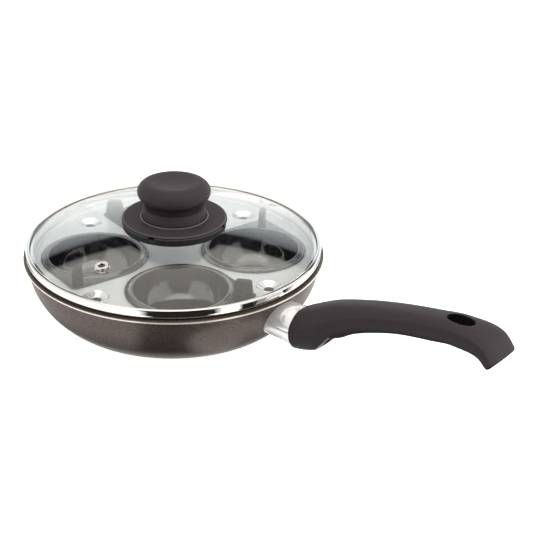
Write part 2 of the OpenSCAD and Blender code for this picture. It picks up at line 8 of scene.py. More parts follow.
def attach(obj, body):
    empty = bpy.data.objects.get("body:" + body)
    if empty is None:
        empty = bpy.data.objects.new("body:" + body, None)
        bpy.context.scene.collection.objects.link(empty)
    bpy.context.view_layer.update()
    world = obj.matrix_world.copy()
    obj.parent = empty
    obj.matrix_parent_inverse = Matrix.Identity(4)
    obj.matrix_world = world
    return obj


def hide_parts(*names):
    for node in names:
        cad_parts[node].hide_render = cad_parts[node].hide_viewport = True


# Looks of the egg poacher pan. Sizes are in millimetres until a mesh is made, and the frame is
# the CAD's: the origin is the centre of the base, Z is up and the handle points along X.
# Only the floor, the lamps and the camera are placed in metres.

MM = 0.001
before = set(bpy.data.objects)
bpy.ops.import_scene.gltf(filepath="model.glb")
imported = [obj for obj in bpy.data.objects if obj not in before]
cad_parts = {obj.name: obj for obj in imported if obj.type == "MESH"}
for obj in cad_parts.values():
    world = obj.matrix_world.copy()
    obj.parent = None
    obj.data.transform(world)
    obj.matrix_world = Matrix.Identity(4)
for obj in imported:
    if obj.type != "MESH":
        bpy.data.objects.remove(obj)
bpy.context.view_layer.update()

# Sizes of the CAD: _R is a radius, _Z a height, _T a thickness and _TURN an angle in degrees
PAN_R, PAN_H, FOOT_R, WALL_T, BASE_T, LIP_R = 101.5, 39.0, 82.0, 2.4, 3.4, 103.1
FLANGE_Z, PLATE_Z, LEDGE_Z, TRAY_T = 39.8, 34.8, 36.8, 0.8
TRAY_R, LEDGE_R, PLATE_R = 104.0, 97.4, 94.8
CUP_RING, CUP_TURN, VENT_RING, VENT_TURN = 55.2, 49.8, 80.3, 96.5
CUP_R, CUP_T, CUP_FLANGE, CUP_DEPTH, CUP_FLOOR = 31.2, 0.8, 36.8, 22.0, 13.0
TONGUE_TURN, TONGUE_D, TONGUE_TIP = 74.0, 45.4, 4.6
GRIP_FROM, GRIP_LEN, GRIP_H, GRIP_T = 35.0, 13.2, 10.6, 4.0
BAND_R, BAND_TOP = 102.2, 46.7
GLASS_TOP, GLASS_R, GLASS_T, GLASS_EDGE = 59.3, 382.36, 3.4, 101.1
GUARD_R, GUARD_Z, KNOB_Z, KNOB_TOP = 36.4, 60.6, 65.2, 90.5
EYELET_RING, EYELET_TURN = 70.0, 273.5
HANDLE_X, HANDLE_Z = 119.0, 24.6

# A corner of more than this many degrees is left as it is, and a length under TINY counts as none
FLAT_CORNER = 172
TINY = 1e-6


# Mesh helpers

def arc(cx, cy, r, a0, a1, n):
    """n + 1 points about (cx, cy), from a0 to a1 degrees."""
    turns = [math.radians(a0 + (a1 - a0) * i / n) for i in range(n + 1)]
    return [(cx + r * math.cos(a), cy + r * math.sin(a)) for a in turns]


def softened(points, radius, steps=4, keep=()):
    """The closed outline with every corner rounded, save those whose numbers are in keep."""
    done = []
    n = len(points)
    for i, p in enumerate(points):
        p = Vector(p)
        a = Vector(points[i - 1]) - p
        b = Vector(points[(i + 1) % n]) - p
        if i in keep or min(a.length, b.length, p.x) < TINY or a.angle(b) > math.radians(FLAT_CORNER):
            done.append(tuple(p))
            continue
        angle = a.angle(b)
        reach = min(radius / math.tan(angle / 2), 0.45 * a.length, 0.45 * b.length)
        r = reach * math.tan(angle / 2)
        start = p + a.normalized() * reach
        end = p + b.normalized() * reach
        centre = p + (a.normalized() + b.normalized()).normalized() * (r / math.sin(angle / 2))
        for k in range(steps + 1):
            t = k / steps
            d = (start - centre).lerp(end - centre, t)
            done.append(tuple(centre + d.normalized() * r))
    return done


def finish_mesh(bm, name, body, materials, weighted=True, sharp=40):
    """Makes the object. Edges sharper than this many degrees stay sharp, and body is what it rides."""
    bmesh.ops.recalc_face_normals(bm, faces=bm.faces)
    mesh = bpy.data.meshes.new(name)
    bm.to_mesh(mesh)
    bm.free()
    obj = bpy.data.objects.new(name, mesh)
    bpy.context.scene.collection.objects.link(obj)
    for m in materials:
        mesh.materials.append(m)
    mesh.shade_smooth()
    if sharp:
        mesh.set_sharp_from_angle(angle=math.radians(sharp))
    if weighted:
        mod = obj.modifiers.new("weights", "WEIGHTED_NORMAL")
        mod.keep_sharp = True
        settle(obj)
    if body:
        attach(obj, body)
    return obj


def settle(obj):
    """Makes the modifiers' result the object's own mesh."""
    bpy.context.view_layer.update()
    seen = obj.evaluated_get(bpy.context.evaluated_depsgraph_get())
    mesh = bpy.data.meshes.new_from_object(seen)
    obj.modifiers.clear()
    obj.data = mesh


def lathe(name, outline, body, materials, pick=None, turns=192, place=None, sharp=40):
    """A closed outline of (radius, height) turned about Z. pick gives the material between two points."""
    bm = bmesh.new()
    rings = []
    for r, z in outline:
        if r < TINY:
            rings.append([bm.verts.new((0, 0, z * MM))] * turns)
            continue
        around = [2 * math.pi * k / turns for k in range(turns)]
        rings.append([bm.verts.new((r * MM * math.cos(a), r * MM * math.sin(a), z * MM)) for a in around])
    n = len(rings)
    for i in range(n):
        a, b = rings[i], rings[(i + 1) % n]
        if a[0] is a[1] and b[0] is b[1]:
            continue
        look = pick(outline[i], outline[(i + 1) % n]) if pick else materials[0]
        for k in range(turns):
            j = (k + 1) % turns
            corners = list(dict.fromkeys([a[k], a[j], b[j], b[k]]))
            if len(corners) > 2:
                bm.faces.new(corners).material_index = materials.index(look)
    if place is not None:
        bm.transform(place)
    return finish_mesh(bm, name, body, materials, sharp=sharp)


def sweep(name, rings, body, materials, sharp=0, loop=False):
    """A skin over rings of points: capped at its ends, or led back to its first ring."""
    bm = bmesh.new()
    made = [[bm.verts.new([c * MM for c in p]) for p in ring] for ring in rings]
    n = len(made[0])
    for a, b in zip(made, made[1:] + made[:1] if loop else made[1:]):
        for k in range(n):
            bm.faces.new([a[k], a[(k + 1) % n], b[(k + 1) % n], b[k]])
    if not loop:
        bm.faces.new(made[0])
        bm.faces.new(made[-1])
    return finish_mesh(bm, name, body, materials, sharp=sharp)


def plate(name, outlines, z0, z1, body, materials, bevel=0.0, place=None):
    """A flat sheet: the first outline is its edge and the others are holes."""
    curve = bpy.data.curves.new(name, "CURVE")
    curve.dimensions = "2D"
    curve.fill_mode = "BOTH"
    for outline in outlines:
        line = curve.splines.new("POLY")
        line.points.add(len(outline) - 1)
        for p, (x, y) in zip(line.points, outline):
            p.co = (x * MM, y * MM, 0, 1)
        line.use_cyclic_u = True
    curve.extrude = (z1 - z0) * MM / 2 - bevel * MM
    curve.bevel_depth = bevel * MM
    curve.bevel_resolution = 2
    curve.offset = -bevel * MM
    obj = bpy.data.objects.new(name, curve)
    bpy.context.scene.collection.objects.link(obj)
    obj.location.z = (z0 + z1) * MM / 2
    bpy.context.view_layer.update()
    seen = obj.evaluated_get(bpy.context.evaluated_depsgraph_get())
    mesh = bpy.data.meshes.new_from_object(seen)
    mesh.transform(obj.matrix_world)
    bpy.data.objects.remove(obj)
    bm = bmesh.new()
    bm.from_mesh(mesh)
    bmesh.ops.remove_doubles(bm, verts=bm.verts, dist=1e-6)
    if place is not None:
        bm.transform(place)
    for face in bm.faces:
        face.material_index = 0
    return finish_mesh(bm, name, body, materials, sharp=35)


def cut(obj, tool):
    """Takes the tool out of the object."""
    mod = obj.modifiers.new("cut", "BOOLEAN")
    mod.object = tool
    mod.solver = "EXACT"
    settle(obj)
    bpy.data.objects.remove(tool)


def circle(x, y, r, n=96, back=False):
    """n points of a circle, in the other sense of turning where back is set."""
    turns = [2 * math.pi * k / n for k in (range(n, 0, -1) if back else range(n))]
    return [(x + r * math.cos(a), y + r * math.sin(a)) for a in turns]


# Materials

class Look:
    """One node material, or the world, built a node at a time."""

    def __init__(self, name, world=False):
        self.material = (bpy.data.worlds if world else bpy.data.materials).new(name)
        self.material.use_nodes = True
        self.tree = self.material.node_tree
        self.tree.nodes.clear()
        self.output = self.node("ShaderNodeOutputWorld" if world else "ShaderNodeOutputMaterial")

    def node(self, kind, **settings):
        made = self.tree.nodes.new(kind)
        for key, value in settings.items():
            setattr(made, key, value)
        return made

    def link(self, a, b):
        self.tree.links.new(a, b)

    def coordinates(self, kind="Object"):
        return self.node("ShaderNodeTexCoord").outputs[kind]

    def noise(self, scale, detail=3.0, rough=0.5):
        made = self.node("ShaderNodeTexNoise")
        made.inputs["Scale"].default_value = scale
        made.inputs["Detail"].default_value = detail
        made.inputs["Roughness"].default_value = rough
        self.link(self.coordinates(), made.inputs["Vector"])
        return made.outputs["Fac"]

    def mapped(self, value, from_low, from_high, low, high):
        """The value, with from_low led to low, from_high to high, and nothing past them."""
        made = self.node("ShaderNodeMapRange")
        limits = {"From Min": from_low, "From Max": from_high, "To Min": low, "To Max": high}
        for key, limit in limits.items():
            made.inputs[key].default_value = limit
        self.link(value, made.inputs["Value"])
        return made.outputs["Result"]

    def fill(self, socket, value):
        """Links the socket to another, or sets it to a colour or a number."""
        if isinstance(value, bpy.types.NodeSocket):
            self.link(value, socket)
        elif isinstance(value, tuple) and len(value) == 3 and socket.type == "RGBA":
            socket.default_value = (*value, 1)
        else:
            socket.default_value = value

    def mixed(self, factor, a, b):
        made = self.node("ShaderNodeMix", data_type="RGBA")
        for socket, value in ((made.inputs["Factor"], factor), (made.inputs[6], a), (made.inputs[7], b)):
            self.fill(socket, value)
        return made.outputs[2]

    def math(self, operation, *values):
        made = self.node("ShaderNodeMath", operation=operation)
        for socket, value in zip(made.inputs, values):
            self.fill(socket, value)
        return made.outputs[0]

    def along(self, vector, direction):
        """How far the vector reaches in this direction."""
        made = self.node("ShaderNodeVectorMath", operation="DOT_PRODUCT")
        self.link(vector, made.inputs[0])
        made.inputs[1].default_value = direction
        return made.outputs["Value"]

    def path(self, *kinds):
        """1 for rays of any of these kinds."""
        made = self.node("ShaderNodeLightPath")
        value = made.outputs[f"Is {kinds[0]} Ray"]
        for kind in kinds[1:]:
            value = self.math("MAXIMUM", value, made.outputs[f"Is {kind} Ray"])
        return value

    def shader(self, kind, **sockets):
        made = self.node(kind)
        for key, value in sockets.items():
            self.fill(made.inputs[key], value)
        return made.outputs[0]

    def blend(self, factor, a, b):
        made = self.node("ShaderNodeMixShader")
        for socket, value in zip(made.inputs, (factor, a, b)):
            self.fill(socket, value)
        return made.outputs[0]

    def bump(self, height, strength, distance):
        made = self.node("ShaderNodeBump")
        made.inputs["Strength"].default_value = strength
        made.inputs["Distance"].default_value = distance * MM
        self.link(height, made.inputs["Height"])
        return made.outputs["Normal"]

    def principled(self, color, **sockets):
        made = self.node("ShaderNodeBsdfPrincipled")
        self.fill(made.inputs["Base Color"], color)
        for key, value in sockets.items():
            self.fill(made.inputs[key.replace("_", " ")], value)
        return made.outputs["BSDF"]

    def done(self, shader):
        self.link(shader, self.output.inputs["Surface"])
        return self.material


def metallic_paint():
    """Bronze paint with fine flakes."""
    look = Look("bronze_paint")
    flakes = look.node("ShaderNodeTexVoronoi")
    flakes.inputs["Scale"].default_value = 1500
    look.link(look.coordinates(), flakes.inputs["Vector"])
    spark = look.mapped(flakes.outputs["Distance"], 0.1, 0.75, 1, 0)
    color = look.mixed(spark, (0.078, 0.059, 0.052), (0.17, 0.138, 0.126))
    normal = look.bump(flakes.outputs["Distance"], 0.3, 0.06)
    rough = look.mapped(look.noise(700, 2), 0.3, 0.7, 0.4, 0.5)
    return look.done(look.principled(color, Metallic=0.5, Roughness=rough, Normal=normal,
                                     Coat_Weight=0.3, Coat_Roughness=0.15,
                                     Specular_IOR_Level=0.3, Specular_Tint=(0.5, 0.45, 0.43)))


def nonstick(name, color, rough, **gloss):
    """A dark coating with pale specks."""
    look = Look(name)
    speck = look.mapped(look.noise(900, 2, 0.6), 0.62, 0.72, 0, 1)
    base = look.mixed(speck, color, tuple(c * 1.6 + 0.004 for c in color))
    roughness = look.mapped(look.noise(120, 4), 0.3, 0.7, rough - 0.05, rough + 0.06)
    normal = look.bump(look.noise(1600, 2), 0.12, 0.05)
    return look.done(look.principled(base, Roughness=roughness, Normal=normal, **gloss))


def metal(name, color, rough, grain=0.03, metallic=1.0):
    """Metal whose roughness varies by grain either way."""
    look = Look(name)
    pattern = look.noise(400)
    roughness = look.mapped(pattern, 0.3, 0.7, max(rough - grain, 0.02), rough + grain)
    tone = look.mixed(pattern, tuple(c * 0.97 for c in color), color)
    return look.done(look.principled(tone, Metallic=metallic, Roughness=roughness))


def turned_metal(name, color, rough):
    """Metal with fine rings about the pan's axis."""
    look = Look(name)
    parts = look.node("ShaderNodeSeparateXYZ")
    look.link(look.coordinates(), parts.inputs[0])
    flat = look.node("ShaderNodeCombineXYZ")
    look.link(parts.outputs[0], flat.inputs[0])
    look.link(parts.outputs[1], flat.inputs[1])
    length = look.node("ShaderNodeVectorMath", operation="LENGTH")
    look.link(flat.outputs[0], length.inputs[0])
    rings = look.math("SINE", look.math("MULTIPLY", length.outputs["Value"], 4200))
    normal = look.bump(rings, 0.2, 0.04)
    tone = look.mixed(look.noise(40), tuple(c * 0.92 for c in color), color)
    return look.done(look.principled(tone, Metallic=1.0, Roughness=rough, Normal=normal))


def plastic(name, color, rough, bump=0.1, shine=0.5):
    """Moulded plastic with a fine mottled grain."""
    look = Look(name)
    dark, pale = (tuple(c * share for c in color) for share in (0.7, 1.3))
    tone = look.mixed(look.noise(900, 4, 0.7), dark, pale)
    roughness = look.mapped(look.noise(500, 3), 0.3, 0.7, rough - 0.04, rough + 0.05)
    normal = look.bump(look.noise(1300, 2), bump, 0.04)
    return look.done(look.principled(tone, Roughness=roughness, Normal=normal, Specular_IOR_Level=shine))


def clear_glass():
    """Glass that lets the light through to what is under it."""
    look = Look("clear_glass")
    tint = look.mixed(look.noise(20, 2), (0.975, 0.985, 0.98), (0.985, 0.99, 0.988))
    glass = look.shader("ShaderNodeBsdfGlass", Color=tint, Roughness=0.0, IOR=1.5)
    clear = look.shader("ShaderNodeBsdfTransparent", Color=(0.95, 0.96, 0.955))
    return look.done(look.blend(look.path("Shadow", "Diffuse"), glass, clear))


paint = metallic_paint()
inside = nonstick("pan_nonstick", (0.035, 0.032, 0.032), 0.42)
cup_coat = nonstick("cup_nonstick", (0.008, 0.0075, 0.0075), 0.14,
                    Specular_IOR_Level=1.0, Coat_Weight=1.0, Coat_Roughness=0.05)
# Pale coating along the top of each cup's bead: a painted highlight line
cup_bead_highlight = nonstick("cup_bead_painted_highlight", (0.16, 0.155, 0.15), 0.3)
# Dark brown steel in the recess under the lid rim's bead: painted shade in the gap
band_gap_shade = metal("band_gap_painted_shade", (0.17, 0.125, 0.1), 0.25, 0.03)
# Near-black plastic inside the handle's slot and bores, the steam hole, and the guard's notches and edge
# step: painted shade in recesses
recess_shade = plastic("recess_painted_shade", (0.006, 0.005, 0.0055), 0.6, shine=0.1)
# Paler plastic on the handle heel's slanted face and on the bead at the knob's foot: painted light and
# painted highlight
painted_highlight_plastic = plastic("plastic_painted_highlight", (0.13, 0.117, 0.12), 0.35, shine=0.3)
base_metal = turned_metal("turned_base", (0.72, 0.72, 0.71), 0.3)
polished = metal("polished_steel", (0.87, 0.86, 0.83), 0.06, 0.01)
tray_steel = metal("tray_steel", (0.79, 0.795, 0.785), 0.34, 0.015, metallic=0.35)
vent_steel = metal("vent_steel", (0.85, 0.85, 0.84), 0.16, 0.03, metallic=0.8)
# Pale cream steel on the tray's lower edge and on the lid rim's bead: painted highlight lines
edge_highlight_steel = metal("tray_edge_painted_highlight", (0.93, 0.87, 0.81), 0.3, 0.04, metallic=0.3)
sleeve_steel = metal("sleeve_aluminium", (0.96, 0.95, 0.945), 0.18, 0.02, metallic=0.6)
screw_steel = metal("screw_steel", (0.7, 0.7, 0.71), 0.25, 0.05)
cast = metal("cast_bracket", (0.66, 0.67, 0.68), 0.4, 0.08)
brass = metal("brass", (0.7, 0.52, 0.25), 0.28, 0.05)
# Dark brown steel on the tray's flange: painted shade and painted reflection of the dark gap under the
# lid's rim
rim_shaded_steel = metal("tray_rim_painted_shade", (0.1, 0.075, 0.055), 0.25, 0.03, metallic=0.4)
eyelet_steel = metal("eyelet_steel", (0.66, 0.645, 0.62), 0.15, 0.03)
# Darker plastic on the knob's neck: painted shade under the knob's head
neck_shade = plastic("neck_painted_shade", (0.02, 0.016, 0.0175), 0.5, shine=0.08)
# Paler plastic round the guard's edge: a painted highlight
guard_edge_highlight = plastic("guard_edge_painted_highlight", (0.068, 0.056, 0.06), 0.45, shine=0.15)
black = plastic("handle_plastic", (0.043, 0.0345, 0.037), 0.5, shine=0.08)
grip_black = plastic("grip_plastic", (0.02, 0.018, 0.018), 0.42, shine=0.3)
# Black rubber for the seals, also used for the ring under the guard's edge, where it is partly painted
# shade
dark_seal_and_shade = plastic("seal_rubber", (0.012, 0.011, 0.011), 0.7, 0.2)
glass = clear_glass()

# Pieces of the CAD that are shown as they are
NODE_LOOKS = {"handle_stud": cast, "handle_washer": screw_steel, "handle_screw": screw_steel,
              "knob_insert": brass, "knob_seal": dark_seal_and_shade, "lid_seal": dark_seal_and_shade,
              "clamp_washer": screw_steel, "knob_screw": screw_steel, "vent_collar": polished}
for i in range(1, 5):
    NODE_LOOKS[f"grip_rivet_{i}"] = screw_steel
for name, look in NODE_LOOKS.items():
    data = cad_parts[name].data
    data.materials.clear()
    data.materials.append(look)


# Pan

def wall_at(t):
    """The wall's outer radius at this share of its height."""
    return FOOT_R + (PAN_R - FOOT_R) * (1 - (1 - t) ** 2.24) ** 0.9


def build_pan():
    steps = 40
    outer = [(wall_at(t), PAN_H * t) for t in ((i / steps) ** 1.6 for i in range(1, steps + 1))]
    outer = [p for p in outer if p[1] < PAN_H - 2.6]
    inner = [(r - WALL_T, z) for r, z in reversed(outer) if z > BASE_T + 1.2]
    inside_r = PAN_R - WALL_T
    floor_r = wall_at(2 / 14) - WALL_T - 3
    lip_t = 0.8
    hollow_r, hollow_z = 60, 0.3
    outline = [(0, hollow_z), (hollow_r, hollow_z), (hollow_r + 0.6, 0), (FOOT_R - 0.6, 0),
               (FOOT_R, 0.25)]
    outline += outer + [(PAN_R, PAN_H - 2.5)]
    outline += arc(LIP_R - lip_t, PAN_H - lip_t, lip_t, -80, 90, 8)
    outline += [(inside_r + 0.4, PAN_H), (inside_r, PAN_H - 0.4)] + inner
    outline += [(floor_r + 1.5, BASE_T + 0.4), (floor_r, BASE_T), (0, BASE_T)]

    def pick(a, b):
        if max(a[1], b[1]) < hollow_z + 0.05 and a[0] < FOOT_R and b[0] < FOOT_R + 0.1:
            return base_metal
        wall_r = wall_at(min(a[1], PAN_H) / PAN_H)
        within = min(a[0], b[0]) < wall_r - WALL_T / 2 and a[1] > BASE_T - 0.1
        return inside if within else paint

    obj = lathe("pan_shell", outline, "pan", [paint, inside, base_metal], pick, turns=256, sharp=50)
    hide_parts("pan_body")


# Handle

# The middle line from the side: shares of the run and of the rise, and the section's lean in degrees
HANDLE_RUN, HANDLE_RISE = 143.5, 47.6
SIDE = [(0, 0, 8), (0.085, 0.19, 24), (0.19, 0.42, 28), (0.33, 0.62, 22), (0.5, 0.8, 17),
        (0.67, 0.925, 12), (0.8, 1, 3), (0.95, 0.95, -22), (1, 0.785, -34)]
PATH = [(HANDLE_X + a * HANDLE_RUN, HANDLE_Z + b * HANDLE_RISE, lean) for a, b, lean in SIDE]
# The section: share of the length, half width, height above and below the middle line, squareness
BODY = [(0, 16.8, 12.6, 13, 2.4), (0.05, 16.0, 11.4, 15.9, 2.7), (0.1, 15.0, 10.4, 17.2, 3.1),
        (0.15, 14.4, 9.3, 16.6, 3), (0.2, 13.6, 8.3, 15, 2.6), (0.45, 12.1, 5.1, 12.2, 2.4),
        (0.75, 11.8, 3.6, 12.3, 2.6), (0.92, 13.1, 2.3, 11, 3), (1, 13.4, 1.9, 7.5, 3.2)]


def curve(marks, rows, t):
    """Reads at t the smooth curve that passes through each row at its mark."""
    def slope(i):
        if i == 0:
            return [(b - a) / (marks[1] - marks[0]) for a, b in zip(rows[0], rows[1])]
        if i == len(rows) - 1:
            return [(b - a) / (marks[i] - marks[i - 1]) for a, b in zip(rows[i - 1], rows[i])]
        h0, h1 = marks[i] - marks[i - 1], marks[i + 1] - marks[i]
        return [((c - b) / h1 * h0 + (b - a) / h0 * h1) / (h0 + h1)
                for a, b, c in zip(rows[i - 1], rows[i], rows[i + 1])]
    i = 0
    while i < len(marks) - 2 and t >= marks[i + 1]:
        i += 1
    h = marks[i + 1] - marks[i]
    s = (t - marks[i]) / h
    k = (2 * s ** 3 - 3 * s ** 2 + 1, (s ** 3 - 2 * s ** 2 + s) * h,
         3 * s ** 2 - 2 * s ** 3, (s ** 3 - s ** 2) * h)
    return [k[0] * a + k[1] * ma + k[2] * b + k[3] * mb
            for a, ma, b, mb in zip(rows[i], slope(i), rows[i + 1], slope(i + 1))]


def path_marks():
    """How far along the middle line each of its points is, as a share, and the line's length."""
    run = [0.0]
    for a, b in zip(PATH, PATH[1:]):
        run.append(run[-1] + math.hypot(b[0] - a[0], b[1] - a[1]))
    return [r / run[-1] for r in run], run[-1]


MARKS, PATH_LEN = path_marks()
END_R = 2.2


def oval(w, up, down, square, n):
    """A rounded outline of n points: 2 is an ellipse, and more is squarer."""
    ring = []
    for k in range(n):
        a = 2 * math.pi * k / n
        c, s = math.cos(a), math.sin(a)
        ring.append((math.copysign(abs(c) ** (2 / square), c) * w,
                     math.copysign(abs(s) ** (2 / square), s) * (up if s > 0 else down)))
    return ring


def section(w, up, down, square, crown, n):
    """The handle's outline, with a rounded belly. Its top meets the sides in an edge where crown is 0,
    and is round where crown is 1."""
    ring = oval(w, up, down, square, n)
    done = []
    for k, (x, y) in enumerate(ring):
        if y > 0:
            x = w * math.cos(2 * math.pi * k / n)
            edged_top = 1 - abs(x / w) ** 3
            round_top = (1 - abs(x / w) ** 2.4) ** (1 / 2.4)
            y = 1.05 * up * ((1 - crown) * edged_top + crown * round_top)
        done.append((x, y))
    return done


def stand(flat, x, z, lean):
    """Sets a flat outline upright across the handle at (x, z), leaning by these degrees."""
    s, c = math.sin(math.radians(lean)), math.cos(math.radians(lean))
    return [(x - v * s, u, z + v * c) for u, v in flat]


def handle_ring(u, n=96):
    """The handle's section at this share of its length, a little smaller towards its rounded ends."""
    x, z, lean = curve(MARKS, PATH, u)
    w, up, down, square = curve([b[0] for b in BODY], [b[1:] for b in BODY], u)
    scale = 1.0
    for d in ((1 - u) * PATH_LEN, u * PATH_LEN + END_R / 3):
        if d < END_R:
            scale = min(scale, 1 - 0.2 * (1 - math.sqrt(max(0.0, 1 - (1 - d / END_R) ** 2))))
    crown = 0.15 + 0.45 * min(1, max(0, (u - 0.55) / 0.3))
    return stand(section(w * scale, up * scale, down * scale, square, crown, n), x, z, lean)


def build_handle():
    marks = [0, 0.003, 0.006, 0.01, 0.015] + [0.015 + 0.965 * i / 90 for i in range(1, 91)]
    marks += [0.986, 0.99, 0.993, 0.9955, 0.9975, 0.999, 1]
    obj = sweep("handle_grip", [handle_ring(u) for u in marks], None, [black], sharp=50)
    # The heel's slanted face
    slope = math.radians(53)
    low, high, heel_x = 13.6, 33, HANDLE_X + 13.8
    rise = high - low
    run = rise / math.tan(slope)
    reach = 40
    side = [(run, rise), (-run, -rise), (-run, -reach), (3 * run, -reach), (3 * run, rise)]
    tool = [[(heel_x + a, y, low + b) for a, b in side] for y in (-reach, reach)]
    cut(obj, sweep("heel_tool", tool, None, [black]))
    # The hanging slot, which widens at the top
    slot_x, slot_z, slot_half, slot_r = HANDLE_X + 114, 72, 8.8, 5.2
    rings = []
    for z, grow in ((-30, 0), (2.6, 0), (3.2, 0.2), (3.9, 0.8), (12, 9)):
        ring = oval(slot_half + grow, slot_r + grow, slot_r + grow, 2.2, 64)
        rings.append([(slot_x + x, y, slot_z + z) for x, y in ring])
    cut(obj, sweep("hole_tool", rings, None, [black]))
    # The screw's bore and its recess: from, to, height and radius
    for start, end, mid, r in ((-5, 9, 24.2, 2.8), (8.2, 48, 24.2, 4.1), (11, 48, 21.4, 3.3)):
        around = [2 * math.pi * k / 48 for k in range(48)]
        ring = [(r * math.cos(a), mid + r * math.sin(a)) for a in around]
        tool = [[(HANDLE_X + x, y, z) for y, z in ring] for x in (start, end)]
        cut(obj, sweep("bore_tool", tool, None, [black]))
    obj.data.set_sharp_from_angle(angle=math.radians(38))
    looks = [black, recess_shade, painted_highlight_plastic]
    for look in looks[1:]:
        obj.data.materials.append(look)
    heel_way = Vector((math.sin(slope), 0, -math.cos(slope)))
    for face in obj.data.polygons:
        at = face.center / MM
        in_slot = math.hypot((at.x - slot_x) / slot_half, at.y / slot_r) < 1.1
        in_bore = HANDLE_X < at.x < HANDLE_X + 30 and abs(at.y) < 4.2 and 18 < at.z < 28.4
        # Inside the slot and the bores: painted shade
        if in_slot and abs(face.normal.z) < 0.35 or in_bore and abs(face.normal.x) < 0.3:
            face.material_index = looks.index(recess_shade)
        # The heel's slanted face is paler: painted light
        elif at.x < HANDLE_X + 34 and face.normal.dot(heel_way) > 0.995:
            face.material_index = looks.index(painted_highlight_plastic)
    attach(obj, "pan")
    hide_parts("handle")


COLLAR_FROM, COLLAR_TO, COLLAR_H = 0.8, 0.804, 0.6


def ferrule_point(k, n, u, inset):
    """A point of the sleeve: k of n around it and u of the way from inside the pan to the handle."""
    x0 = PAN_R - 13.4
    collar = COLLAR_H * min(1, max(0, (u - COLLAR_FROM) / (COLLAR_TO - COLLAR_FROM)))
    w = 14.9 + 0.3 * u + collar - inset
    h = 11.2 - 0.1 * u + collar - inset
    flat = oval(w, h, h, 2.2, n)[k]
    return stand([flat], x0 + (HANDLE_X - 0.05 - x0) * u, HANDLE_Z - 1.5 * (1 - u), 8 * u)[0]


def build_ferrule():
    n = 128

    def wall_mark(k, inset):
        """Where this line of the sleeve meets the pan's wall."""
        low, high = 0.0, COLLAR_FROM - 0.01
        for _ in range(30):
            mid = (low + high) / 2
            x, y, z = ferrule_point(k, n, mid, inset)
            if math.hypot(x, y) < wall_at(z / PAN_H) + 0.03:
                low = mid
            else:
                high = mid
        return high

    rings = []
    for inset in (0, 0.8):
        starts = [wall_mark(k, inset) for k in range(n)]
        rows = [[a + (COLLAR_FROM - a) * i / 14 for a in starts] for i in range(15)]
        rows += [[u] * n for u in (COLLAR_TO, 0.82, 0.85, 0.9, 0.95, 0.985, 1)]
        skin = [[ferrule_point(k, n, u, inset) for k, u in enumerate(row)] for row in rows]
        rings += reversed(skin) if inset else skin
    obj = sweep("ferrule_sleeve", rings, None, [sleeve_steel], sharp=30, loop=True)
    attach(obj, "pan")
    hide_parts("ferrule")


# Tray and cups

def build_tray():
    edge = [(PLATE_R - 0.2, PLATE_Z), (PLATE_R, PLATE_Z), (PLATE_R, LEDGE_Z), (LEDGE_R, LEDGE_Z),
            (LEDGE_R, FLANGE_Z), (TRAY_R, FLANGE_Z), (TRAY_R, PAN_H - 0.8), (TRAY_R - 0.6, PAN_H - 0.8),
            (TRAY_R - 0.6, PAN_H), (LEDGE_R + TRAY_T, PAN_H), (LEDGE_R + TRAY_T, LEDGE_Z - TRAY_T),
            (PLATE_R + TRAY_T, LEDGE_Z - TRAY_T), (PLATE_R + TRAY_T, PLATE_Z - TRAY_T),
            (PLATE_R - 0.2, PLATE_Z - TRAY_T)]

    def pick(a, b):
        r, z = (a[0] + b[0]) / 2, (a[1] + b[1]) / 2
        # The lower edge of the tray's skirt gets the pale steel: a painted highlight line
        if r > TRAY_R - 0.5 and z < FLANGE_Z - 0.4:
            return edge_highlight_steel
        # The flange gets the dark brown steel: painted shade of the gap under the lid's rim
        return rim_shaded_steel if r > LEDGE_R + 0.5 else tray_steel

    rim = lathe("tray_rim", softened(edge, 0.45, 4, keep=(0, len(edge) - 1)), "tray",
                [tray_steel, rim_shaded_steel, edge_highlight_steel], pick, turns=256, sharp=60)
    holes, vents = [], []
    for k in range(4):
        a = math.radians(CUP_TURN + 90 * k)
        holes.append(circle(CUP_RING * math.cos(a), CUP_RING * math.sin(a), CUP_R + 1.4, 128, True))
        a = math.radians(VENT_TURN + 90 * k)
        vents.append((VENT_RING * math.cos(a), VENT_RING * math.sin(a)))
        holes.append(circle(*vents[-1], 8.6, 48, True))
    flat = plate("tray_plate", [circle(0, 0, PLATE_R - 0.1, 256)] + holes, PLATE_Z - TRAY_T, PLATE_Z,
                 "tray", [tray_steel])
    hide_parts("tray")
    funnel = [(8.65, 0), (8.4, 0), (8, 0.25), (7.6, 0), (6.8, -0.5), (4, -1.9), (3.3, -2.3), (3.1, -2.8),
              (3.9, -3.1), (4.6, -2.6), (7.5, -1.3), (8.65, -TRAY_T)]
    funnel = softened([(r, PLATE_Z + z) for r, z in funnel], 0.5, 3, keep=(0, len(funnel) - 1))
    for i, (x, y) in enumerate(vents):
        made = lathe(f"tray_vent_{i + 1}", funnel, "tray", [vent_steel], turns=64,
                     place=Matrix.Translation((x * MM, y * MM, 0)))


def bowl_at(t):
    """The bowl's inner radius at this share of its depth."""
    return CUP_FLOOR + (CUP_R - CUP_FLOOR) * math.sqrt(max(0.0, 1 - t * t))


